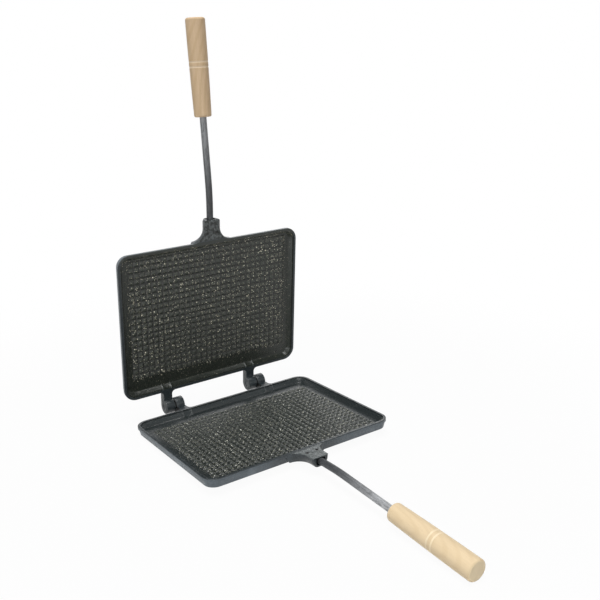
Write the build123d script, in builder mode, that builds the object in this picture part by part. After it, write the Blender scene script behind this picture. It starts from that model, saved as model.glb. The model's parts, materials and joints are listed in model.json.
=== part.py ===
from build123d import *
import math
import os

# A long-handled double iron for toasting filled bread or wafers over a fire: two equal cast plates,
# each a shallow rectangular tray with a field of small studs, hinged along one long edge, and each
# held by a bent steel rod with a turned wooden grip. It stands open on a table top.
# Millimetres and degrees. +X runs along the hinge, +Y from the grips to the hinge, +Z straight up.
# The origin is the middle of the lower plate's flat underside.

# Cast plate: outside
plate_width = 256.0
plate_depth = 192.0
plate_height = 12.0
plate_corner = 16.0
lip_height = 3.6
lip_overhang = 1.0
wall_draft = 13.0
under_rounding = 1.5
rim_rounding = 0.5

# Cast plate: tray
rim_land = 3.3
step_depth = 2.0
ledge_width = 1.2
tray_depth = 7.2
tray_slope = 33.0
tray_rounding = 1.2

# Stud field
stud_pitch = 7.5
stud_top = 2.6
stud_height = 1.5
groove_foot = 0.1
side_border = 7.5
front_border = 2.4
hinge_border = 16.0

# Neck that takes the rod
neck_width = 22.6
neck_waist = 20.6
neck_waist_drop = 6.0
neck_foot = 13.0
neck_length = 28.0
neck_roof = 1.05
neck_under = 1.65
neck_flare = 17.0
neck_corner = 2.5
channel_length = 7.0
channel_spare = 0.3
channel_corner = 2.4
socket_fit = 0.05

# Rod, its flattened end and the two pins that key it
rod_diameter = 8.3
tang_width = 11.8
tang_thickness = 3.6
tang_length = 20.0
tang_blend = 4.5
neck_pin_diameter = 2.6
neck_pin_bite = 0.5
neck_pin_reach = 11.0
neck_pin_sink = 0.6
neck_pin_below = 1.1
neck_pin_spare = 0.2
bend_radius = 300.0
lower_bend_reach = 61.0
lower_bend = 4.35
upper_bend_reach = 58.0
upper_bend = 7.7
rod_in_grip = 70.0
rod_end_chamfer = 0.8

# Grip
grip_reach = 152.0
grip_length = 114.0
grip_small = 20.9
grip_large = 23.5
grip_belly = 0.35
grip_rounding = 2.0
grip_ring_width = 1.2
grip_ring_depth = 0.35
grip_ring_places = (50.0, 56.0)
grip_fit = 0.05
grip_bore_spare = 2.0

# Hinge
closed_gap = 0.3
hinge_reach = 21.2
knuckle_radius = 9.2
lug_width = 12.0
lug_spacing = 124.8
lug_gap = 1.0
lug_flare = 5.0
hinge_pin_diameter = 6.0
hinge_pin_fit = 0.05
hinge_pin_sink = 0.3
hinge_pin_chamfer = 0.4
seam_width = 0.8
seam_rise = 0.7
seam_reach = 3.0
opening_angle = 83.83

# Places that follow from those sizes, in one plate's own frame: X along the hinge, Y toward it and
# Z from the underside up to the rim
half_depth = plate_depth / 2
floor_height = plate_height - tray_depth
hinge_y = half_depth + hinge_reach
hinge_z = plate_height + closed_gap / 2
ledge_inset = rim_land + ledge_width
floor_inset = ledge_inset + (tray_depth - step_depth) * math.tan(math.radians(tray_slope))
under_inset = lip_overhang + (plate_height - lip_height) * math.tan(math.radians(wall_draft))
lug_starts = [side * lug_spacing / 2 + lug_gap / 2 for side in (-1, 1)]
channel_height = rod_diameter + 2 * channel_spare
neck_height = neck_roof + channel_height + neck_under
socket_depth = neck_roof + channel_height / 2
rod_z = plate_height - socket_depth
neck_pin_depth = socket_depth + tang_thickness / 2 + neck_pin_below
channel_end = half_depth + neck_length - channel_length
channel_width = tang_width + 2 * channel_spare
neck_pin_spacing = tang_width + neck_pin_diameter - 2 * neck_pin_bite


def rod_point(bend_reach, bend, beyond_grip_start):
    """Depth and height of a point on a rod's bent run, from where the grip starts."""
    slope = math.radians(bend)
    run = (grip_reach - bend_reach) / math.cos(slope) + beyond_grip_start
    return (-half_depth - bend_reach - run * math.cos(slope), rod_z - run * math.sin(slope))


def rest_tilt():
    """Tilt at which the lower half stands on its plate's rounded back edge and its grip's rounded end."""
    back_y = half_depth - under_inset - under_rounding / math.tan(math.radians(90 + wall_draft) / 2)
    end_y, end_z = rod_point(lower_bend_reach, lower_bend, grip_length - grip_rounding)
    drop = grip_large / 2 - grip_rounding
    end_y += drop * math.sin(math.radians(lower_bend))
    end_z -= drop * math.cos(math.radians(lower_bend))
    rise, run = under_rounding - end_z, back_y - end_y
    return math.acos((under_rounding - grip_rounding) / math.hypot(rise, run)) - math.atan2(run, rise)


# Seats: the lower plate tilts to rest, and the upper one is the same casting turned over and opened
tilt = rest_tilt()
turn = tilt + math.radians(opening_angle)
lower_seat = Plane((0, 0, 0), x_dir=(1, 0, 0), z_dir=(0, math.sin(tilt), math.cos(tilt)))
hinge_point = lower_seat.from_local_coords((0, hinge_y, hinge_z))
open_frame = Plane(hinge_point, x_dir=(1, 0, 0), z_dir=(0, math.sin(turn), math.cos(turn)))
upper_origin = open_frame.from_local_coords((0, -hinge_y, hinge_z))
upper_seat = Plane(upper_origin, x_dir=(-1, 0, 0), z_dir=-open_frame.z_dir)


def side_plane(x):
    """Plane square to the hinge, its sketch axes along the plate's depth and height."""
    return Plane((x, 0, 0), x_dir=(0, 1, 0), z_dir=(1, 0, 0))


def end_plane(reach, z=0.0):
    """Plane square to the neck, facing the grips, at a distance from the plate's middle."""
    return Plane((0, -reach, z), x_dir=(1, 0, 0), z_dir=(0, -1, 0))


def tab(plane, half_width, flare, reach, corner, root):
    """Outline of a tab rooted in a plate's edge, its sides swept into the edge by hollow arcs."""
    with BuildSketch(plane) as outline:
        with BuildLine():
            Polyline((0, -root), (half_width + flare, -root), (half_width + flare, 0))
            CenterArc((half_width + flare, flare), flare, 270, -90)
            Line((half_width, flare), (half_width, reach - corner))
            if corner > 0:
                CenterArc((half_width - corner, reach - corner), corner, 0, 90)
            Line((half_width - corner, reach), (0, reach))
            mirror(about=Plane.YZ)
        make_face()
    return outline.sketch


def ridge_outline(plane, count):
    """Zigzag outline of a row of ridges with flat tops, which a skirt carries down into the floor."""
    half = count * stud_pitch / 2
    corners = [(-half, -groove_foot), (-half, groove_foot)]
    for step in range(count):
        middle = (step + 0.5) * stud_pitch - half
        corners.append((middle - stud_top / 2, stud_height))
        corners.append((middle + stud_top / 2, stud_height))
        corners.append((middle + stud_pitch / 2, groove_foot))
    corners.append((half, -groove_foot))
    with BuildSketch(plane) as outline:
        with BuildLine():
            Polyline(*corners, close=True)
        make_face()
    return outline.sketch


# Studs: ridges along the plate cut to flat-topped pyramids by ridges across it, as many as fit the floor
room_x = plate_width - 2 * floor_inset - 2 * side_border
room_y = plate_depth - 2 * floor_inset - front_border - hinge_border
columns = int(room_x / stud_pitch)
rows = int(room_y / stud_pitch)
field_width = columns * stud_pitch
field_depth = rows * stud_pitch
field_y = half_depth - floor_inset - hinge_border - field_depth / 2
field_seat = Plane((0, field_y, floor_height))
with BuildPart() as studs:
    along = ridge_outline(Plane.XZ.offset(-field_depth / 2), columns)
    extrude(along, amount=field_depth, dir=(0, -1, 0))
    across = ridge_outline(Plane.YZ.offset(-field_width / 2), rows)
    extrude(across, amount=field_width, dir=(1, 0, 0), mode=Mode.INTERSECT)

# One casting serves for both plates
rim_plane = Plane.XY.offset(plate_height)
with BuildPart() as casting:
    # Pan with drafted walls under an upright lip
    with BuildSketch(Plane.XY.offset(plate_height - lip_height)):
        inner = 2 * lip_overhang
        RectangleRounded(plate_width - inner, plate_depth - inner, plate_corner - lip_overhang)
    extrude(amount=-(plate_height - lip_height), taper=wall_draft)
    fillet(casting.faces().sort_by(Axis.Z)[0].edges(), under_rounding)
    with BuildSketch(rim_plane):
        RectangleRounded(plate_width, plate_depth, plate_corner)
    extrude(amount=-lip_height)

    # Neck and hinge arms, level with the rim on top
    neck_root = Plane((0, -half_depth, plate_height), x_dir=(-1, 0, 0), z_dir=(0, 0, 1))
    neck_shape = ((0, neck_width), (neck_waist_drop, neck_waist), (neck_height, neck_foot))
    neck_levels = [
        tab(neck_root.offset(-drop), width / 2, neck_flare, neck_length, neck_corner, floor_inset)
        for drop, width in neck_shape
    ]
    loft(neck_levels, ruled=True)
    for start in lug_starts:
        arm_root = Plane((start + lug_width / 2, half_depth, plate_height))
        arm = tab(arm_root, lug_width / 2, lug_flare, hinge_reach, 0, rim_land)
        extrude(arm, amount=knuckle_radius - closed_gap / 2, dir=(0, 0, -1))
    fillet(casting.faces().sort_by(Axis.Z)[-1].edges(), rim_rounding)

    # Knuckles, and one bore through them
    for start in lug_starts:
        with BuildSketch(side_plane(start)):
            with Locations((hinge_y, hinge_z)):
                Circle(knuckle_radius)
        extrude(amount=lug_width)
    with BuildSketch(side_plane(lug_starts[0] - lug_gap)):
        with Locations((hinge_y, hinge_z)):
            Circle(hinge_pin_diameter / 2 + hinge_pin_fit)
    extrude(amount=lug_spacing + lug_width + 2 * lug_gap, mode=Mode.SUBTRACT)

    # Tray: a step inside the rim, then a sloping wall rounded into the floor
    with BuildSketch(rim_plane):
        RectangleRounded(plate_width - 2 * rim_land, plate_depth - 2 * rim_land, plate_corner - rim_land)
    extrude(amount=-step_depth, mode=Mode.SUBTRACT)
    with BuildSketch(rim_plane.offset(-step_depth)):
        inner = 2 * ledge_inset
        RectangleRounded(plate_width - inner, plate_depth - inner, plate_corner - ledge_inset)
    extrude(amount=-(tray_depth - step_depth), taper=tray_slope, mode=Mode.SUBTRACT)
    fillet(casting.edges().filter_by_position(Axis.Z, floor_height, floor_height), tray_rounding)

    # Mouth in the neck's tip, the flat socket behind it and the blind pin holes across the socket's sides
    with BuildSketch(end_plane(channel_end, rod_z)):
        RectangleRounded(channel_width, channel_height, channel_corner)
    extrude(amount=channel_length + 1, mode=Mode.SUBTRACT)
    with BuildSketch(end_plane(channel_end, rod_z)):
        Rectangle(tang_width + 2 * socket_fit, tang_thickness + 2 * socket_fit)
    extrude(amount=-(tang_length + socket_fit), mode=Mode.SUBTRACT)
    with BuildSketch(rim_plane):
        with Locations((0, -half_depth - neck_pin_reach)):
            with GridLocations(neck_pin_spacing, 1, 2, 1):
                Circle(neck_pin_diameter / 2 + socket_fit)
    extrude(amount=-neck_pin_depth, mode=Mode.SUBTRACT)

    # Cast seams in line with the lugs' sides, over the ledge and down the tray's wall
    ledge_edge = half_depth - rim_land
    foot = half_depth - floor_inset
    for start in lug_starts:
        for x in (start, start + lug_width):
            with BuildSketch(side_plane(x - seam_width / 2)):
                with BuildLine():
                    Polyline(
                        (ledge_edge + rim_land / 2, plate_height),
                        (ledge_edge - ledge_width - seam_rise / 2, plate_height),
                        (foot - seam_rise, floor_height + seam_rise),
                        (foot - seam_reach, floor_height + seam_rise),
                        (foot - seam_reach - seam_rise, floor_height - seam_rise),
                        (ledge_edge + rim_land / 2, floor_height - seam_rise),
                        close=True,
                    )
                make_face()
            extrude(amount=seam_width)

    with Locations(field_seat):
        add(studs.part)


def handle_rod(bend_reach, bend):
    """Rod with a flat keyed end in the neck, one bend and a straight run into the grip."""
    round_start = channel_end + tang_blend
    with BuildPart() as rod:
        with BuildSketch(end_plane(channel_end, rod_z)):
            Rectangle(tang_width, tang_thickness)
        extrude(amount=-tang_length)
        with BuildSketch(end_plane(channel_end, rod_z)):
            Rectangle(tang_width, tang_thickness)
        with BuildSketch(end_plane(round_start, rod_z)):
            Circle(rod_diameter / 2)
        loft()
        with BuildLine(Plane.YZ):
            start = (-round_start, rod_z)
            corner = (-half_depth - bend_reach, rod_z)
            FilletPolyline(start, corner, rod_point(bend_reach, bend, rod_in_grip), radius=bend_radius)
        with BuildSketch(end_plane(round_start, rod_z)):
            Circle(rod_diameter / 2)
        sweep()
        chamfer(rod.faces().sort_by(Axis.Y)[0].edges(), rod_end_chamfer)
        with BuildSketch(rim_plane):
            with Locations((0, -half_depth - neck_pin_reach)):
                with GridLocations(neck_pin_spacing, 1, 2, 1):
                    Circle(neck_pin_diameter / 2 + socket_fit)
        extrude(amount=-neck_pin_depth, mode=Mode.SUBTRACT)
    return rod.part


def turned_grip(bend_reach, bend):
    """Grip turned round the rod's end, fuller toward its far end, with two fine rings and a blind bore."""
    slope = math.radians(bend)
    y, z = rod_point(bend_reach, bend, 0)
    seat = Plane((0, y, z), x_dir=(0, -math.cos(slope), -math.sin(slope)), z_dir=(1, 0, 0))
    middle = Axis(seat.origin, seat.x_dir)
    bore = rod_diameter / 2 + grip_fit
    bore_end = rod_in_grip + grip_bore_spare
    with BuildPart() as grip:
        with BuildSketch(seat) as profile:
            with BuildLine():
                swell = (grip_length / 2, (grip_small + grip_large) / 4 + grip_belly)
                ThreePointArc((0, grip_small / 2), swell, (grip_length, grip_large / 2))
                Polyline(
                    (grip_length, grip_large / 2),
                    (grip_length, 0),
                    (bore_end, 0),
                    (bore_end, bore),
                    (0, bore),
                    (0, grip_small / 2),
                )
            make_face()
            fillet(profile.vertices().sort_by(Axis.Y)[-2:], grip_rounding)
        revolve(axis=middle)
        for place in grip_ring_places:
            along = grip_length - place
            share = along / grip_length
            straight = grip_small + (grip_large - grip_small) * share
            surface = straight / 2 + 4 * grip_belly * share * (1 - share)
            with BuildSketch(seat):
                with Locations((along, surface + grip_ring_width / 2 - grip_ring_depth)):
                    Circle(grip_ring_width / 2)
            revolve(axis=middle, mode=Mode.SUBTRACT)
    return grip.part


def hinge_pin(x):
    """Plain pin through a pair of knuckles, a little short of their outer faces."""
    length = 2 * lug_width + lug_gap - 2 * hinge_pin_sink
    with BuildPart() as pin:
        with BuildSketch(side_plane(x - length / 2)):
            with Locations((hinge_y, hinge_z)):
                Circle(hinge_pin_diameter / 2)
        extrude(amount=length)
        chamfer(pin.edges().filter_by(GeomType.CIRCLE), hinge_pin_chamfer)
    return pin.part


def neck_pin(x):
    """Pin down through the neck, biting into the notch in one side of the rod's flat end."""
    with BuildPart() as pin:
        with BuildSketch(rim_plane.offset(-neck_pin_sink)):
            with Locations((x, -half_depth - neck_pin_reach)):
                Circle(neck_pin_diameter / 2)
        extrude(amount=-(neck_pin_depth - neck_pin_sink - neck_pin_spare))
    return pin.part


# Lower half
with BuildPart(lower_seat) as lower_plate:
    add(casting.part)
with BuildPart(lower_seat) as lower_rod:
    add(handle_rod(lower_bend_reach, lower_bend))
with BuildPart(lower_seat) as lower_grip:
    add(turned_grip(lower_bend_reach, lower_bend))
with BuildPart(lower_seat) as lower_neck_pin_left:
    add(neck_pin(-neck_pin_spacing / 2))
with BuildPart(lower_seat) as lower_neck_pin_right:
    add(neck_pin(neck_pin_spacing / 2))
with BuildPart(lower_seat) as hinge_pin_left:
    add(hinge_pin(-lug_spacing / 2))
with BuildPart(lower_seat) as hinge_pin_right:
    add(hinge_pin(lug_spacing / 2))

# Upper half, whose own X runs the other way
with BuildPart(upper_seat) as upper_plate:
    add(casting.part)
with BuildPart(upper_seat) as upper_rod:
    add(handle_rod(upper_bend_reach, upper_bend))
with BuildPart(upper_seat) as upper_grip:
    add(turned_grip(upper_bend_reach, upper_bend))
with BuildPart(upper_seat) as upper_neck_pin_left:
    add(neck_pin(neck_pin_spacing / 2))
with BuildPart(upper_seat) as upper_neck_pin_right:
    add(neck_pin(-neck_pin_spacing / 2))

os.makedirs("parts", exist_ok=True)
lower_plate.part.label = "lower_plate"
export_step(lower_plate.part, "parts/lower_plate.step")
lower_rod.part.label = "lower_rod"
export_step(lower_rod.part, "parts/lower_rod.step")
lower_grip.part.label = "lower_grip"
export_step(lower_grip.part, "parts/lower_grip.step")
lower_neck_pin_left.part.label = "lower_neck_pin_left"
export_step(lower_neck_pin_left.part, "parts/lower_neck_pin_left.step")
lower_neck_pin_right.part.label = "lower_neck_pin_right"
export_step(lower_neck_pin_right.part, "parts/lower_neck_pin_right.step")
hinge_pin_left.part.label = "hinge_pin_left"
export_step(hinge_pin_left.part, "parts/hinge_pin_left.step")
hinge_pin_right.part.label = "hinge_pin_right"
export_step(hinge_pin_right.part, "parts/hinge_pin_right.step")
upper_plate.part.label = "upper_plate"
export_step(upper_plate.part, "parts/upper_plate.step")
upper_rod.part.label = "upper_rod"
export_step(upper_rod.part, "parts/upper_rod.step")
upper_grip.part.label = "upper_grip"
export_step(upper_grip.part, "parts/upper_grip.step")
upper_neck_pin_left.part.label = "upper_neck_pin_left"
export_step(upper_neck_pin_left.part, "parts/upper_neck_pin_left.step")
upper_neck_pin_right.part.label = "upper_neck_pin_right"
export_step(upper_neck_pin_right.part, "parts/upper_neck_pin_right.step")
print("tilt", round(math.degrees(tilt), 3), "stud columns", columns, "rows", rows)
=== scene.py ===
import json
import math
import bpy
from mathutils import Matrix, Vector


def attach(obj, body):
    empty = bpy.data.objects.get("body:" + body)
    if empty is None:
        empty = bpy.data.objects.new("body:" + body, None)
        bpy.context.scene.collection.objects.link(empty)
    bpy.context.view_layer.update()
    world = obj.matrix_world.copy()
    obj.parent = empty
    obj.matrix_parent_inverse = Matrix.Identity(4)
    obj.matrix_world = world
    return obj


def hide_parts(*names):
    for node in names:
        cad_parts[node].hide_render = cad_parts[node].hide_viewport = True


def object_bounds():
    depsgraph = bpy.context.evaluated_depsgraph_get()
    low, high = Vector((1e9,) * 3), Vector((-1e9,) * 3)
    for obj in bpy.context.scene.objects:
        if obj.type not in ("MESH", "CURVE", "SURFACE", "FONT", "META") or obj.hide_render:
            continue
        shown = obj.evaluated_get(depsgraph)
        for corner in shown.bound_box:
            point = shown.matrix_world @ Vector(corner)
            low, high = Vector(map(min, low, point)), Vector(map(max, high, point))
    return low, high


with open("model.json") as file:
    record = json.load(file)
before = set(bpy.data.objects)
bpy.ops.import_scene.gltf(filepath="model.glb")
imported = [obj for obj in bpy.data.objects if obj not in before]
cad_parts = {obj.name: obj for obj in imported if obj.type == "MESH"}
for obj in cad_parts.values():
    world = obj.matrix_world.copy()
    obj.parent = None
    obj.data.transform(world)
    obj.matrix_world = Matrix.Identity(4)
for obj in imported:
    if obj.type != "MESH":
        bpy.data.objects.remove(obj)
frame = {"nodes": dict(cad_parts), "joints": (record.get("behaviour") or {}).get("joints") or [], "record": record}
from types import SimpleNamespace

import bmesh
import bpy
import numpy as np
from mathutils import Matrix, Vector

# A long-handled double iron for toasting over a fire: two studded cast trays hinged along one long
# edge, each on a bent steel rod with a turned beech grip. It stands open on a table.
# Metres in the world frame: +X along the hinge, +Y from the grips to the hinge, +Z straight up.
# Patterns are laid out in millimetres in a piece's own frame.

start_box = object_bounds()
MM = 0.001

# The casting, in its own frame: X along the hinge, Y toward it, Z from the underside up to the rim
plate_half_width = 128.0
plate_half_depth = 96.0
plate_height = 12.0
plate_corner = 16.0
rim_land = 3.3
floor_height = 4.8
floor_inset = 7.9

# Its studs. The field's half sizes are where its patterns end
stud_height = 1.5
stud_pitch = 7.5
stud_top = floor_height + stud_height
stud_field_y = -6.88
field_half_width = 112.5
field_half_depth = 79.0

# Its hinge arms, with a seam in line with each side, and the pins in its neck
arm_width = 12.0
arm_spacing = 124.8
arm_gap = 1.0
arm_starts = [side * arm_spacing / 2 + arm_gap / 2 for side in (-1, 1)]
seam_places = [start + step for start in arm_starts for step in (0, arm_width)]
neck_pin_reach = 11.0
neck_pin_x = 6.7
neck_pin_y = -plate_half_depth - neck_pin_reach

# The handles
rod_height = 6.5
grip_reach = 152.0
lower_bend_reach = 61.0
lower_bend = math.radians(4.35)
upper_bend_reach = 58.0
upper_bend = math.radians(7.7)
grip_length = 114.0
grip_small = 20.9
grip_large = 23.5
grip_belly = 0.35
grip_near_rounding = 2.0
grip_far_rounding = 2.6
grip_ring_places = (50.0, 56.0)
grip_ring_width = 0.55
grip_ring_depth = 0.32
grip_inset = 0.02

# How the castings' copies are cleaned and their edges rounded
merge_distance = 0.002
flat_angle = math.radians(0.5)
edge_rounding = 0.32
sharp_angle = math.radians(31)

# How the two castings stand: the lower one leans on its back edge and its grip, as its underside's mount
# shows, and the upper one is the same casting turned over and opened about the hinge
hinge_reach = 21.2
closed_gap = 0.3
opening_angle = math.radians(83.83)
underside = frame["record"]["mounts"][0]["axis"]
tilt = math.atan2(-underside[1], -underside[2])
turn = tilt + opening_angle
hinge_place = Vector(frame["joints"][0]["pos_m"])
hinge_depth = plate_half_depth + hinge_reach
hinge_height = plate_height + closed_gap / 2
table_height = start_box[0][2]

# ---------------------------------------------------------------- own frames


def basis(x_dir, y_dir, z_dir, origin):
    """Frame with the given directions and origin, as a matrix from its own coordinates to the world."""
    columns = [Vector(x_dir), Vector(y_dir), Vector(z_dir)]
    directions = Matrix([[column[row] for column in columns] for row in range(3)]).to_4x4()
    return Matrix.Translation(origin) @ directions


lower_frame = Matrix.Rotation(-tilt, 4, "X")
upper_y = Vector((0, math.cos(turn), -math.sin(turn)))
upper_z = Vector((0, -math.sin(turn), -math.cos(turn)))
upper_origin = hinge_place - (hinge_depth * upper_y + hinge_height * upper_z) * MM
upper_frame = basis((-1, 0, 0), upper_y, upper_z, upper_origin)


def handle_frame(plate_frame, bend_reach, bend):
    """Frame of a handle's straight run: its own X runs out along the rod, zero where the grip starts."""
    run = (grip_reach - bend_reach) / math.cos(bend)
    y = -plate_half_depth - bend_reach - run * math.cos(bend)
    z = rod_height - run * math.sin(bend)
    out = Vector((0, -math.cos(bend), -math.sin(bend)))
    side = Vector((1, 0, 0))
    return plate_frame @ basis(out, side.cross(out), side, Vector((0, y, z)) * MM)


lower_handle = handle_frame(lower_frame, lower_bend_reach, lower_bend)
upper_handle = handle_frame(upper_frame, upper_bend_reach, upper_bend)

# ---------------------------------------------------------------- node trees


def put(tree, kind, inputs=None, **settings):
    """One node with its settings; each input takes a number or colour, or a link from another socket."""
    made = tree.nodes.new("ShaderNode" + kind)
    for name, value in settings.items():
        setattr(made, name, value)
    for key, value in (inputs or {}).items():
        if isinstance(value, bpy.types.NodeSocket):
            tree.links.new(value, made.inputs[key])
        else:
            made.inputs[key].default_value = value
    return made


def calc(tree, operation, first, *others):
    """Result of a sum on one value, or carried on from the first value through all the others."""
    result = first
    for other in others or (0.0,):
        result = put(tree, "Math", {0: result, 1: other}, operation=operation).outputs[0]
    return result


def product(tree, *values):
    """All the values multiplied."""
    return calc(tree, "MULTIPLY", *values)


def weighted(tree, *parts):
    """Sum of values, each times its own weight."""
    return calc(tree, "ADD", *[product(tree, value, weight) for value, weight in parts])


def less(tree, mask, share=1.0):
    """What is left of one where a share of a mask is taken away."""
    return calc(tree, "SUBTRACT", 1.0, product(tree, mask, share))


def gap(tree, value, place=0.0):
    """Distance of a value from a place, whichever side it is on."""
    return calc(tree, "ABSOLUTE", calc(tree, "SUBTRACT", value, place))


def length(tree, vector):
    """Length of a vector."""
    return put(tree, "VectorMath", {0: vector}, operation="LENGTH").outputs["Value"]


def joined(tree, *sides):
    """Vector with the given sides."""
    return put(tree, "CombineXYZ", dict(enumerate(sides))).outputs[0]


def shifted(tree, place, shift):
    """Place moved by a shift."""
    return put(tree, "VectorMath", {0: place, 1: shift}, operation="ADD").outputs[0]


def stretch(tree, place, scale):
    """Place stretched along its own axes."""
    return put(tree, "VectorMath", {0: place, 1: scale}, operation="MULTIPLY").outputs[0]


def ease(tree, value, low, high, out_low=0.0, out_high=1.0):
    """Smooth change from one value to another while the input runs between two limits."""
    inputs = {"Value": value, "From Min": low, "From Max": high, "To Min": out_low, "To Max": out_high}
    return put(tree, "MapRange", inputs, interpolation_type="SMOOTHSTEP").outputs[0]


def mix(tree, share, a, b):
    """Mix of two values by a share."""
    return put(tree, "Mix", {0: share, 2: a, 3: b}).outputs[0]


def blend(tree, share, a, b):
    """Mix of two colours by a share."""
    a, b = [(*tone, 1) if isinstance(tone, tuple) else tone for tone in (a, b)]
    return put(tree, "Mix", {0: share, 6: a, 7: b}, data_type="RGBA").outputs[2]


def laid(tree, colour, mask, tone, share=1.0):
    """Colour after a tone is laid over it where a mask lies, by a share."""
    return blend(tree, product(tree, mask, share), colour, tone)


def grain(tree, place, scale, detail=3.0, roughness=0.5, distortion=0.0):
    """Even noise around one half."""
    inputs = {"Vector": place, "Scale": scale, "Detail": detail, "Roughness": roughness,
              "Distortion": distortion}
    return put(tree, "TexNoise", inputs).outputs["Fac"]


def bumped(tree, height):
    """Normal of a surface raised by a height in millimetres."""
    return put(tree, "Bump", {"Height": height, "Distance": MM, "Strength": 1.0}).outputs["Normal"]


def skin_group(name, *masks):
    """Empty group that takes a place in millimetres and hands out colour, roughness, normal and masks."""
    tree = bpy.data.node_groups.new(name, "ShaderNodeTree")
    tree.interface.new_socket("Place", in_out="INPUT", socket_type="NodeSocketVector")
    kinds = {"Colour": "Color", "Roughness": "Float", "Normal": "Vector"} | dict.fromkeys(masks, "Float")
    for label, kind in kinds.items():
        tree.interface.new_socket(label, in_out="OUTPUT", socket_type="NodeSocket" + kind)
    return tree, tree.nodes.new("NodeGroupInput").outputs["Place"]


def hand_out(tree, **sockets):
    """Joins the group's outputs."""
    end = tree.nodes.new("NodeGroupOutput")
    for name, socket in sockets.items():
        tree.links.new(socket, end.inputs[name])


# ---------------------------------------------------------------- cast skin


def cast_zones(tree, place):
    """Masks that tell the parts of a casting apart, and the distances they are made from. Each fades over
    a millimetre or less where the shape has an edge, and over more where only the finish changes."""
    x, y, z = put(tree, "SeparateXYZ", {0: place}).outputs
    across, off_field = gap(tree, x), gap(tree, y, stud_field_y)

    # How far out a place lies from the inner rectangle whose corners are the rounded corners' middles
    past_x = calc(tree, "MAXIMUM", calc(tree, "SUBTRACT", across, plate_half_width - plate_corner), 0.0)
    past_y = calc(tree, "MAXIMUM", calc(tree, "SUBTRACT", gap(tree, y), plate_half_depth - plate_corner), 0.0)
    outward = length(tree, joined(tree, past_x, past_y))

    rim_inner = plate_corner - rim_land
    inside = product(tree, ease(tree, outward, rim_inner + 0.5, rim_inner - 0.1),
                     ease(tree, z, floor_height - 1.6, floor_height - 0.4),
                     ease(tree, z, plate_height - 0.4, plate_height - 1.0))

    # The outer wall, whose painted sheen is weaker by the neck, and the tray's wall on the neck's side, which
    # is given painted light
    by_neck = product(tree, ease(tree, across, 62.0, 30.0), ease(tree, y, -80.0, -92.0))
    outer_wall = product(tree, ease(tree, outward, rim_inner - 0.1, rim_inner + 0.5),
                         ease(tree, z, plate_height - 0.4, plate_height - 1.4),
                         ease(tree, gap(tree, y), plate_half_depth + 2.0, plate_half_depth + 0.2),
                         less(tree, by_neck, 0.75))
    wall_foot = plate_corner - floor_inset
    neck_wall = product(tree, ease(tree, outward, wall_foot - 0.5, wall_foot + 0.5),
                        ease(tree, y, -80.0, -85.0))

    # The stud field, the neck's top and the rim on the neck's side
    in_field = product(tree, ease(tree, across, field_half_width + 0.5, field_half_width - 0.5),
                       ease(tree, off_field, field_half_depth + 0.5, field_half_depth - 0.5))
    neck = product(tree, ease(tree, y, -plate_half_depth - 0.5, -plate_half_depth - 3.0),
                   ease(tree, z, plate_height - 1.0, plate_height - 0.2))
    front_rim = product(tree, ease(tree, y, -86.0, -90.0),
                        ease(tree, y, -plate_half_depth - 1.0, -plate_half_depth - 0.2),
                        ease(tree, z, plate_height - 0.6, plate_height - 0.2))
    return SimpleNamespace(place=place, x=x, y=y, z=z, across=across, off_field=off_field, inside=inside,
                           outer_wall=outer_wall, neck_wall=neck_wall, in_field=in_field, neck=neck,
                           front_rim=front_rim)


def cast_noises(tree, place):
    """Noises of a casting: its sand grain, a finer one, wide clouds, slow swells and the neck's blots."""
    blots = ease(tree, grain(tree, place, 0.24, 3, 0.6, 0.3), 0.44, 0.56)
    return SimpleNamespace(sand=grain(tree, place, 0.95, 4, 0.62), fine=grain(tree, place, 2.6, 3, 0.6),
                           cloud=grain(tree, place, 0.035, 4, 0.55, 0.4), swell=grain(tree, place, 0.16, 2),
                           blots=blots)


def speckles(tree, place, scale, steps, soft):
    """Round specks in scattered cells. Each cell's random size is eased through the steps, which are given
    as ease takes them and add up to the speck's reach, and the speck fades over a soft edge. Returns the
    specks' mask and their random shade."""
    cells = put(tree, "TexVoronoi", {"Vector": place, "Scale": scale, "Randomness": 1.0})
    size, shade = put(tree, "SeparateColor", {0: cells.outputs["Color"]}).outputs[:2]
    reach = calc(tree, "ADD", *[ease(tree, size, *step) for step in steps])
    return ease(tree, calc(tree, "SUBTRACT", reach, cells.outputs["Distance"]), 0.0, soft), shade


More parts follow.
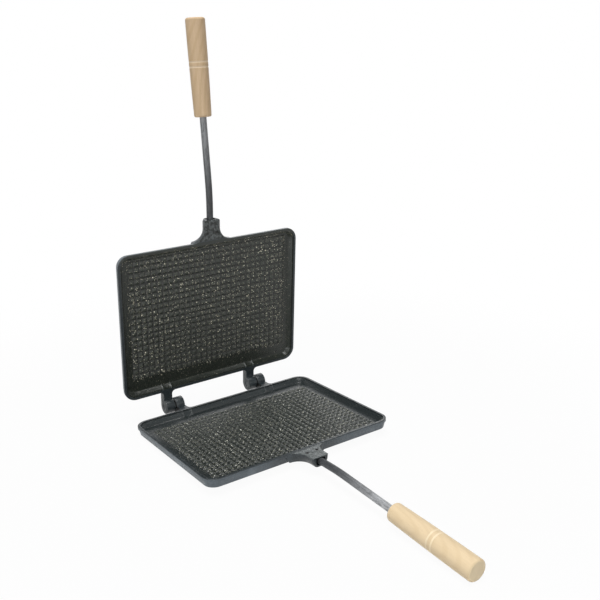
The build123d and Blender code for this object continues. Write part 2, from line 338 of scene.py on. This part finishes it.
def cast_specks(tree, zone):
    """Pale specks in the tray's coating: fine ones that sit mostly on the studs' tops, where they stand partly
    for painted highlights, and along the neck's side of the tray, and a few larger, brighter flakes that are
    strewn over the floor as well."""
    worry = put(tree, "TexNoise", {"Vector": zone.place, "Scale": 1.4}).outputs["Color"]
    shaken = shifted(tree, zone.place, stretch(tree, worry, (0.5, 0.5, 0.5)))
    fine, shade = speckles(tree, shaken, 1.05, [(0.50, 1.0, 0.02, 0.56)], 0.12)
    flake_steps = [(0.78, 0.80, 0.0, 0.13), (0.80, 1.0, 0.0, 0.20)]
    flakes, flake_shade = speckles(tree, shaken, 0.42, flake_steps, 0.08)

    field = product(tree, ease(tree, zone.across, field_half_width + 4.0, field_half_width, 0.10, 1.0),
                    ease(tree, zone.off_field, field_half_depth + 4.0, field_half_depth, 0.10, 1.0),
                    ease(tree, zone.z, stud_top + 1.2, stud_top))
    field = calc(tree, "MAXIMUM", field, ease(tree, zone.y, -82.0, -87.0, 0.0, 0.8))
    # Fine specks are thinned away off the studs' tops, so that they gather there partly as painted highlights
    off_top = product(tree, ease(tree, zone.z, stud_top - 0.2, floor_height + 0.3), zone.in_field)
    fine = product(tree, fine, zone.inside, field, less(tree, off_top, 0.85))
    flakes = product(tree, flakes, zone.inside, ease(tree, field, 0.0, 1.0, 0.15, 1.0))

    brightness = calc(tree, "POWER", shade, 2.0)
    fine_colour = blend(tree, brightness, (0.12, 0.115, 0.085), (0.74, 0.68, 0.50))
    flake_colour = blend(tree, flake_shade, (0.30, 0.285, 0.22), (0.95, 0.92, 0.80))
    bright = calc(tree, "MAXIMUM", product(tree, fine, ease(tree, brightness, 0.25, 0.8)), flakes)
    return SimpleNamespace(fine=fine, fine_colour=fine_colour, flakes=flakes, flake_colour=flake_colour,
                           every=calc(tree, "MAXIMUM", fine, flakes), bright=bright)


def off_stud(tree, value, shift):
    """Nought on a stud's middle line and one halfway to the next stud."""
    turns = calc(tree, "DIVIDE", calc(tree, "ADD", value, shift), stud_pitch)
    return product(tree, calc(tree, "PINGPONG", turns, 0.5), 2.0)


def tray_coating(tree, zone, noise):
    """Colour inside the tray: nearly black, with painted shade in the grooves, deepest in the corners between
    the studs, painted highlight on the studs' tops, and painted light on the tray's wall beside the neck."""
    # Painted shade: the grooves between the studs are darkened, and most of all the corners where they cross
    between = product(tree, off_stud(tree, zone.x, stud_pitch / 2), off_stud(tree, zone.y, -stud_field_y))
    groove = product(tree, ease(tree, zone.z, floor_height + 1.1, floor_height + 0.3), zone.in_field)
    corner = product(tree, ease(tree, between, 0.25, 0.8), groove)
    dark = calc(tree, "MAXIMUM", product(tree, groove, 0.55), product(tree, corner, 0.9))
    # Painted highlight: the studs are lightened towards their tops, as if lit
    raised = product(tree, ease(tree, zone.z, floor_height + 0.7, stud_top), zone.in_field)

    colour = blend(tree, noise.cloud, (0.006, 0.0082, 0.0062), (0.0125, 0.0165, 0.0122))
    colour = laid(tree, colour, ease(tree, noise.fine, 0.42, 0.66), (0.036, 0.043, 0.033))
    colour = laid(tree, colour, dark, (0.004, 0.005, 0.004))
    colour = laid(tree, colour, raised, (0.080, 0.089, 0.072), 0.52)
    # Painted light: the tray's wall beside the neck is lightened to lift its shade
    return laid(tree, colour, zone.neck_wall, (0.050, 0.055, 0.043), 0.55)


def outer_coating(tree, zone, noise):
    """Colour outside the tray: slate grey with lighter sand grain, and a pale blue-grey painted sheen along
    the outer wall, standing in for the light that falls on it.
    """
    colour = blend(tree, noise.cloud, (0.008, 0.012, 0.0135), (0.019, 0.027, 0.031))
    colour = laid(tree, colour, ease(tree, noise.sand, 0.45, 0.72), (0.048, 0.064, 0.071), 0.45)
    # Painted sheen: the outer wall is made pale blue-grey as if strongly lit
    painted_sheen = blend(tree, noise.sand, (0.046, 0.062, 0.074), (0.140, 0.172, 0.196))
    painted_sheen = laid(tree, painted_sheen, ease(tree, noise.cloud, 0.50, 0.68), (0.200, 0.235, 0.262), 0.6)
    return laid(tree, colour, zone.outer_wall, painted_sheen, 0.85)


def neck_marks(tree, colour, zone, noise):
    """The neck's top is paler, partly raw metal and partly painted sheen from the light overhead, blotted
    dark, with a black ring of painted shade round each of its sunk pins.
    """
    # Paler neck top: partly raw metal, partly painted sheen from the light overhead
    raw = blend(tree, ease(tree, noise.sand, 0.35, 0.65), (0.085, 0.096, 0.096), (0.215, 0.235, 0.235))
    raw = laid(tree, raw, less(tree, noise.blots), (0.012, 0.017, 0.016), 0.35)
    colour = laid(tree, colour, zone.neck, raw, 0.75)
    # Painted shade: a black ring round each sunk pin, where its hole lies in shade
    to_pin = joined(tree, calc(tree, "SUBTRACT", zone.across, neck_pin_x),
                    calc(tree, "SUBTRACT", zone.y, neck_pin_y))
    painted_pin_shade = product(tree, ease(tree, length(tree, to_pin), 2.5, 2.0), zone.neck)
    return laid(tree, colour, painted_pin_shade, (0.004, 0.005, 0.005))


def hinge_marks(tree, colour, zone):
    """The narrow gaps between the knuckles are painted black as shade; the seam ribs beside the arms get a
    painted highlight.
    """
    # Painted shade: black in the narrow gaps between the knuckles
    to_start = calc(tree, "MINIMUM", *[gap(tree, zone.x, start) for start in arm_starts])
    painted_gap_shade = product(tree, ease(tree, to_start, 0.5, 0.3), ease(tree, zone.y, 98.0, 100.0))
    colour = laid(tree, colour, painted_gap_shade, (0.002, 0.002, 0.002))
    # Painted highlight: the seam ribs beside the arms are lightened as if catching the light
    to_seam = calc(tree, "MINIMUM", *[gap(tree, zone.x, place) for place in seam_places])
    seam = product(tree, ease(tree, to_seam, 0.75, 0.45), ease(tree, zone.y, 85.0, 87.0), zone.inside,
                   ease(tree, zone.z, floor_height + 0.4, floor_height + 0.9))
    return laid(tree, colour, seam, (0.24, 0.25, 0.245), 0.8)


def cast_skin():
    """Dark coated casting. The outside keeps its sand-cast grain; inside the tray the coating is darker,
    smoother and flecked with pale specks."""
    tree, place = skin_group("cast_skin", "Wear and glint", "Tray", "Specks and glints", "Front rim", "Neck", "Neck shade", "Border")
    zone, noise = cast_zones(tree, place), cast_noises(tree, place)
    specks = cast_specks(tree, zone)

    colour = blend(tree, zone.inside, outer_coating(tree, zone, noise), tray_coating(tree, zone, noise))
    colour = laid(tree, colour, specks.fine, specks.fine_colour)
    colour = laid(tree, colour, specks.flakes, specks.flake_colour)
    colour = neck_marks(tree, colour, zone, noise)
    colour = hinge_marks(tree, colour, zone)

    rough_outside = ease(tree, noise.sand, 0.3, 0.7, 0.46, 0.28)
    rough_inside = weighted(tree, (ease(tree, noise.fine, 0.3, 0.7, 0.24, 0.38), 1.0), (specks.fine, 0.25))
    roughness = mix(tree, zone.inside, rough_outside, rough_inside)
    blotted_neck = product(tree, zone.neck, noise.blots)
    height_outside = weighted(tree, (noise.sand, 0.34), (noise.swell, 0.9), (blotted_neck, 0.45))
    height_inside = weighted(tree, (noise.fine, 0.12), (noise.sand, 0.10))
    height = weighted(tree, (mix(tree, zone.inside, height_outside, height_inside), 1.0), (specks.fine, 0.05))

    # Patches that lighten the rounded edges: partly rubbed coating, partly painted highlight
    wear_and_glint = ease(tree, weighted(tree, (noise.sand, 0.6), (noise.swell, 0.4)), 0.38, 0.6)
    bare_tray = product(tree, zone.inside, less(tree, specks.every, 0.6))
    masks = {"Wear and glint": wear_and_glint, "Tray": bare_tray, "Specks and glints": specks.bright, "Front rim": zone.front_rim,
             # The neck's top between its blots, which the upper casting darkens as painted shade
             "Neck": zone.neck, "Neck shade": product(tree, zone.neck, less(tree, noise.blots)),
             "Border": product(tree, bare_tray, less(tree, zone.in_field))}
    hand_out(tree, Colour=colour, Roughness=roughness, Normal=bumped(tree, height), **masks)
    return tree


# ---------------------------------------------------------------- steel and wood skins


def steel_skin():
    """Drawn steel with scratches along it, and dark scale where it has been in the heat by the casting."""
    tree, place = skin_group("steel_skin")
    x = put(tree, "SeparateXYZ", {0: place}).outputs[0]
    lines = grain(tree, stretch(tree, place, (0.06, 2.2, 2.2)), 1.0, 4, 0.65)
    blots = grain(tree, stretch(tree, place, (0.10, 0.35, 0.35)), 1.0, 4, 0.6)
    pits = grain(tree, place, 1.8, 2)
    from_heat = ease(tree, weighted(tree, (x, 1.0), (blots, 60.0)), -75.0, 40.0)
    clean = blend(tree, lines, (0.24, 0.246, 0.254), (0.80, 0.81, 0.83))
    scaled = blend(tree, lines, (0.040, 0.043, 0.047), (0.165, 0.171, 0.180))
    colour = blend(tree, from_heat, scaled, clean)
    colour = laid(tree, colour, ease(tree, blots, 0.48, 0.62), (0.045, 0.046, 0.046), 0.45)
    roughness = ease(tree, weighted(tree, (lines, 0.5), (blots, 0.5)), 0.3, 0.7, 0.40, 0.62)
    height = weighted(tree, (lines, 0.05), (pits, 0.03))
    hand_out(tree, Colour=colour, Roughness=roughness, Normal=bumped(tree, height))
    return tree


def growth_rings(tree, place, waver, lengthwise, sway, heart, density):
    """Sine of the distance from a tree's heart that lies beside the grip and sways along it. Lengthwise is
    how much the rings close up along the grip, so that they run out through its side as arches."""
    sides = stretch(tree, place, (lengthwise, 1, 1))
    from_heart = shifted(tree, sides, joined(tree, 0.0, product(tree, waver, sway), heart))
    return calc(tree, "SINE", product(tree, length(tree, from_heart), density))


def wood_skin():
    """Pale beech turned along the grain: soft growth bands, wider arches where the rings lean through the
    side, short dark flecks and lighter turned rings."""
    tree, place = skin_group("wood_skin")
    x = put(tree, "SeparateXYZ", {0: place}).outputs[0]
    waver = grain(tree, stretch(tree, place, (0.012, 0.05, 0.05)), 1.0, 2)
    bands = ease(tree, growth_rings(tree, place, waver, 0, 9.0, 31.0, 2.4), -1.0, 1.0)
    arches = ease(tree, growth_rings(tree, place, waver, 0.30, 16.0, 19.0, 1.25), -0.2, 1.0)
    fibre = grain(tree, stretch(tree, place, (0.05, 1.7, 1.7)), 1.0, 4, 0.6)
    cells = put(tree, "TexVoronoi", {"Vector": stretch(tree, place, (0.16, 0.9, 0.9)), "Scale": 1.0})
    fleck = ease(tree, cells.outputs["Distance"], 0.30, 0.14)
    rings = [ease(tree, gap(tree, x, grip_length - reach), 1.35, 0.7) for reach in grip_ring_places]
    end_grain = ease(tree, x, grip_length - 0.6, grip_length - 0.05)

    colour = blend(tree, grain(tree, place, 0.03), (0.57, 0.415, 0.245), (0.71, 0.535, 0.342))
    colour = laid(tree, colour, bands, (0.56, 0.40, 0.24), 0.28)
    colour = laid(tree, colour, arches, (0.50, 0.335, 0.17), 0.42)
    colour = laid(tree, colour, ease(tree, fibre, 0.42, 0.72), (0.50, 0.35, 0.20), 0.35)
    colour = laid(tree, colour, fleck, (0.38, 0.24, 0.13), 0.30)
    colour = laid(tree, colour, calc(tree, "MAXIMUM", *rings), (0.88, 0.76, 0.58), 0.55)
    # Partly painted light where the end faces the front, partly paler sanded end grain
    colour = laid(tree, colour, end_grain, (0.86, 0.72, 0.50), 0.6)
    roughness = ease(tree, fibre, 0.3, 0.7, 0.44, 0.60)
    height = weighted(tree, (fibre, 0.06), (fleck, -0.03))
    hand_out(tree, Colour=colour, Roughness=roughness, Normal=bumped(tree, height))
    return tree


CAST, STEEL, WOOD = cast_skin(), steel_skin(), wood_skin()

# ---------------------------------------------------------------- materials


def skinned(name, skin, own_frame, patina, constants):
    """Material with a skin laid out in a piece's own frame. The patina lists masks of the skin, or None for
    the whole of it, each with its share and the tone it tends to; constants go on the shader's sockets."""
    made = bpy.data.materials.new(name)
    made.use_nodes = True
    tree = made.node_tree
    shader = tree.nodes["Principled BSDF"]
    back = own_frame.inverted()
    own = put(tree, "Mapping", {"Vector": tree.nodes.new("ShaderNodeTexCoord").outputs["Object"],
                                "Location": back.translation / MM, "Rotation": back.to_euler(),
                                "Scale": (1 / MM,) * 3})
    group = tree.nodes.new("ShaderNodeGroup")
    group.node_tree = skin
    tree.links.new(own.outputs[0], group.inputs["Place"])
    colour = group.outputs["Colour"]
    for mask, share, tone in patina:
        colour = laid(tree, colour, group.outputs[mask] if mask else 1.0, tone, share)
    tree.links.new(colour, shader.inputs["Base Color"])
    for label in ("Roughness", "Normal"):
        tree.links.new(group.outputs[label], shader.inputs[label])
    for label, value in constants.items():
        shader.inputs[label].default_value = value
    return made


def cast_material(name, own_frame, patina, shine):
    """Coated casting."""
    return skinned(name, CAST, own_frame, patina, {"Specular IOR Level": shine})


def edge_material(name, own_frame):
    """The casting's rounded edges, lightened in patches: partly coating rubbed thin, partly painted highlight."""
    return skinned(name, CAST, own_frame, [("Wear and glint", 0.6, (0.13, 0.137, 0.14))], {"Specular IOR Level": 0.65})


def steel_material(name, own_frame, metallic=0.85, blackened=0.0):
    """Drawn steel, darkened toward black by a share."""
    return skinned(name, STEEL, own_frame, [(None, blackened, (0.003, 0.003, 0.003))], {"Metallic": metallic})


def wood_material(name, own_frame, share, tone):
    """Sanded beech that tends to a tone of its own."""
    return skinned(name, WOOD, own_frame, [(None, share, tone)], {"Specular IOR Level": 0.35})


# ---------------------------------------------------------------- pieces


def paint(piece, *materials):
    """Gives a piece its materials in order."""
    piece.data.materials.clear()
    for material in materials:
        piece.data.materials.append(material)


def new_piece(name, mesh, body):
    """Smoothly shaded piece from a mesh, carried by a body."""
    mesh.polygons.foreach_set("use_smooth", np.ones(len(mesh.polygons), dtype=bool))
    piece = bpy.data.objects.new(name, mesh)
    bpy.context.scene.collection.objects.link(piece)
    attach(piece, body)
    return piece


def turned_piece(name, stations, radii, own_frame, body, around=96):
    """Closed turned piece: each station along the own X axis carries a circle of its own radius, and
    both ends close in a single point."""
    angle = np.arange(around) * (2 * math.pi / around)
    circle = np.stack([np.zeros(around), np.cos(angle), np.sin(angle)], axis=1)
    circles = circle[None, :, :] * radii[1:-1, None, None]
    circles[:, :, 0] = stations[1:-1, None]
    ends = np.array([[stations[0], 0, 0], [stations[-1], 0, 0]])
    points = np.concatenate([circles.reshape(-1, 3), ends]) * MM
    matrix = np.array(own_frame)
    points = points @ matrix[:3, :3].T + matrix[:3, 3]

    # Four-cornered faces from ring to ring, and fans of three-cornered ones at the ends
    rings = len(stations) - 2
    ring, step = np.meshgrid(np.arange(rings - 1) * around, np.arange(around), indexing="ij")
    ahead = (step + 1) % around
    sides = np.stack([ring + step, ring + ahead, ring + around + ahead, ring + around + step], axis=-1)
    step, ahead, last_ring = step[0], ahead[0], (rings - 1) * around
    near_point, far_point = np.full(around, rings * around), np.full(around, rings * around + 1)
    near_fan = np.stack([ahead, step, near_point], axis=1)
    far_fan = np.stack([last_ring + step, last_ring + ahead, far_point], axis=1)
    faces = sides.reshape(-1, 4).tolist() + near_fan.tolist() + far_fan.tolist()
    mesh = bpy.data.meshes.new(name)
    mesh.from_pydata(points.tolist(), [], faces)
    mesh.validate()
    return new_piece(name, mesh, body)


def grip_profile():
    """Stations and radii of the grip, a hair inside its solid: a quarter circle at each end, and between
    them a straight taper with a slight belly, from which two fine rings are cut as bell curves. Each end's
    flat runs in to the middle."""
    near, far = grip_near_rounding, grip_far_rounding
    bend = np.linspace(0, math.pi / 2, 9)
    along = np.linspace(near, grip_length - far, 220)
    share = along / grip_length
    radius = (grip_small + (grip_large - grip_small) * share) / 2 + 4 * grip_belly * share * (1 - share)
    for reach in grip_ring_places:
        radius -= grip_ring_depth * np.exp(-(((along - (grip_length - reach)) / grip_ring_width) ** 2))
    start, end = radius[0], radius[-1]
    stations = np.concatenate([[0, 0], near - near * np.cos(bend[:-1]), along,
                               grip_length - far + far * np.sin(bend[1:]), [grip_length] * 2])
    radii = np.concatenate([[0, start / 2], start - near + near * np.sin(bend[:-1]), radius,
                            end - far + far * np.cos(bend[1:]), [end / 2, 0]])
    return stations, np.maximum(radii - grip_inset, 0)


def cast_copy(name, node, body):
    """Copy of a casting, merged to clean faces, whose sharp edges are rounded off."""
    mesh = frame["nodes"][node].data.copy()
    mesh.name = name
    work = bmesh.new()
    work.from_mesh(mesh)
    bmesh.ops.remove_doubles(work, verts=work.verts, dist=merge_distance * MM)
    bmesh.ops.dissolve_limit(work, angle_limit=flat_angle, verts=work.verts, edges=work.edges)
    work.to_mesh(mesh)
    work.free()
    mesh.polygons.foreach_set("material_index", np.zeros(len(mesh.polygons), dtype=np.int32))
    piece = new_piece(name, mesh, body)
    soft = piece.modifiers.new("rounded edges", "BEVEL")
    soft.width = edge_rounding * MM
    soft.segments = 2
    soft.limit_method = "ANGLE"
    soft.angle_limit = sharp_angle
    soft.harden_normals = True
    soft.use_clamp_overlap = True
    soft.material = 1
    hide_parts(node)
    return piece


# Castings: the lower tray is tinted lighter and bluer, most round its border; the upper tray and front rim
# are tinted olive, its neck is darkened as painted shade, and its specks brightened partly as painted glints
lower_patina = [("Tray", 0.24, (0.027, 0.033, 0.035)), ("Border", 0.6, (0.017, 0.023, 0.027)),
                ("Specks and glints", 0.3, (0.74, 0.77, 0.71))]
# The upper neck's darkening is painted shade; its brighter specks are partly painted glints
upper_patina = [("Tray", 0.12, (0.013, 0.0145, 0.0085)), ("Specks and glints", 0.8, (1.0, 0.94, 0.72)),
                ("Front rim", 0.75, (0.026, 0.029, 0.021)), ("Neck", 0.35, (0.020, 0.023, 0.019)),
                ("Neck shade", 0.9, (0.009, 0.011, 0.009))]
lower_casting = cast_copy("lower_casting", "lower_plate", "lower_half")
paint(lower_casting, cast_material("lower casting", lower_frame, lower_patina, 0.62),
      edge_material("lower casting edges", lower_frame))
upper_casting = cast_copy("upper_casting", "upper_plate", "upper_half")
paint(upper_casting, cast_material("upper casting", upper_frame, upper_patina, 0.5),
      edge_material("upper casting edges", upper_frame))

# Grips: painted light and shade; the lower one, lying in the light overhead, is paler, the upper one browner
stations, radii = grip_profile()
lower_grip = turned_piece("lower_turned_grip", stations, radii, lower_handle, "lower_half")
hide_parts("lower_grip")
upper_grip = turned_piece("upper_turned_grip", stations, radii, upper_handle, "upper_half")
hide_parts("upper_grip")
paint(lower_grip, wood_material("lower grip beech", lower_handle, 0.38, (0.97, 0.80, 0.53)))
paint(upper_grip, wood_material("upper grip beech", upper_handle, 0.30, (0.50, 0.335, 0.21)))

# Rods and pins keep their meshes; the upper rod is darkened, and the neck's sunk pins near black as painted shade
lower_steel = steel_material("lower rod steel", lower_handle)
upper_steel = steel_material("upper rod steel", upper_handle, 0.25, 0.52)
# Painted shade: the neck's sunk pins are made nearly black
lower_pin_shade = steel_material("lower neck pins, painted shade", lower_handle, 0.0, 0.95)
upper_pin_shade = steel_material("upper neck pins, painted shade", upper_handle, 0.0, 0.95)
for node, steel in (("lower_rod", lower_steel), ("upper_rod", upper_steel),
                    ("lower_neck_pin_left", lower_pin_shade), ("lower_neck_pin_right", lower_pin_shade),
                    ("upper_neck_pin_left", upper_pin_shade), ("upper_neck_pin_right", upper_pin_shade),
                    ("hinge_pin_left", lower_steel), ("hinge_pin_right", lower_steel)):
    paint(frame["nodes"][node], steel)

# ---------------------------------------------------------------- table and surroundings
scene = bpy.context.scene
scene.view_settings.view_transform = "Standard"
white = (1, 1, 1, 1)


def table_material():
    """Pale matt table that keeps the iron's shadow near it and looks white to the camera farther out, and
    nearly white in reflections."""
    made = bpy.data.materials.new("pale table")
    made.use_nodes = True
    tree = made.node_tree
    tree.nodes.clear()
    path = tree.nodes.new("ShaderNodeLightPath")
    away = length(tree, tree.nodes.new("ShaderNodeTexCoord").outputs["Object"])
    seen = product(tree, path.outputs["Is Camera Ray"], ease(tree, away, 0.3, 0.7, 0.955, 1.0))
    mirrored = calc(tree, "MAXIMUM", path.outputs["Is Glossy Ray"], path.outputs["Is Transmission Ray"])
    share = calc(tree, "MAXIMUM", seen, product(tree, mirrored, 0.75))
    matt = put(tree, "BsdfDiffuse", {"Color": (0.60, 0.60, 0.60, 1)}).outputs[0]
    bright = put(tree, "Emission", {"Color": white, "Strength": 1.0}).outputs[0]
    mixed = put(tree, "MixShader", {0: share, 1: matt, 2: bright}).outputs[0]
    tree.links.new(mixed, tree.nodes.new("ShaderNodeOutputMaterial").inputs["Surface"])
    return made


def studio_world():
    """Dim cool light all round; white to the camera and, low down, in reflections."""
    made = bpy.data.worlds.new("studio")
    made.use_nodes = True
    tree = made.node_tree
    tree.nodes.clear()
    path = tree.nodes.new("ShaderNodeLightPath")
    rise = put(tree, "SeparateXYZ", {0: tree.nodes.new("ShaderNodeTexCoord").outputs["Generated"]}).outputs[2]
    mirrored = product(tree, path.outputs["Is Glossy Ray"], ease(tree, rise, 0.34, 0.65, 1.0, 0.12))
    seen = calc(tree, "MAXIMUM", path.outputs["Is Camera Ray"], path.outputs["Is Transmission Ray"], mirrored)
    soft_light = put(tree, "Background", {"Color": (0.88, 0.96, 1.0, 1), "Strength": 0.15}).outputs[0]
    backdrop = put(tree, "Background", {"Color": white, "Strength": 1.0}).outputs[0]
    mixed = put(tree, "MixShader", {0: seen, 1: soft_light, 2: backdrop}).outputs[0]
    tree.links.new(mixed, tree.nodes.new("ShaderNodeOutputWorld").inputs["Surface"])
    return made


reach = 40.0
corners = [(-reach, -reach), (reach, -reach), (reach, reach), (-reach, reach)]
table_mesh = bpy.data.meshes.new("table_top")
table_mesh.from_pydata([(x, y, table_height) for x, y in corners], [], [(0, 1, 2, 3)])
table_mesh.materials.append(table_material())
table = bpy.data.objects.new("table_top", table_mesh)
scene.collection.objects.link(table)
scene.world = studio_world()

# ---------------------------------------------------------------- lamps and camera


def softbox(name, place, target, width, height, watts, colour=(1, 1, 1)):
    """Soft rectangular lamp aimed at a point."""
    data = bpy.data.lights.new(name, "AREA")
    data.shape = "RECTANGLE"
    data.size, data.size_y = width, height
    data.energy, data.color = watts, colour
    lamp = bpy.data.objects.new(name, data)
    lamp.location = place
    lamp.rotation_euler = (Vector(target) - Vector(place)).to_track_quat("-Z", "Y").to_euler()
    scene.collection.objects.link(lamp)


middle = (0, 0, 0.1)
softbox("left softbox", (-1.35, -0.45, 0.20), (0, 0, 0.06), 0.4, 0.25, 3.6, (0.94, 0.98, 1.0))
softbox("overhead softbox", (-0.3, -0.2, 2.9), middle, 1.5, 1.5, 80)
softbox("back softbox", (0.95, 1.35, 0.62), middle, 0.8, 0.6, 2.6)
softbox("front softbox", (-0.9, -2.0, 0.55), (0, -0.2, 0.05), 0.8, 0.6, 10.5)

# Camera: turned about the vertical, raised, and rolled a little
camera_turn = math.radians(-34.7602)
camera_rise = math.radians(18.4145)
camera_roll = math.radians(-0.771)
camera_place = Vector((-0.49351, -0.79770, 0.48087))
back = Vector((math.sin(camera_turn) * math.cos(camera_rise),
               -math.cos(camera_turn) * math.cos(camera_rise), math.sin(camera_rise)))
level = Vector((math.cos(camera_turn), math.sin(camera_turn), 0))
upright = back.cross(level)
right = math.cos(camera_roll) * level + math.sin(camera_roll) * upright
up = math.cos(camera_roll) * upright - math.sin(camera_roll) * level
camera_data = bpy.data.cameras.new("camera")
camera_data.lens = 50.31
camera_data.sensor_width = 36.0
camera_data.clip_start, camera_data.clip_end = 0.01, 50.0
camera = bpy.data.objects.new("camera", camera_data)
camera.matrix_world = basis(right, up, back, camera_place)
scene.collection.objects.link(camera)
scene.camera = camera
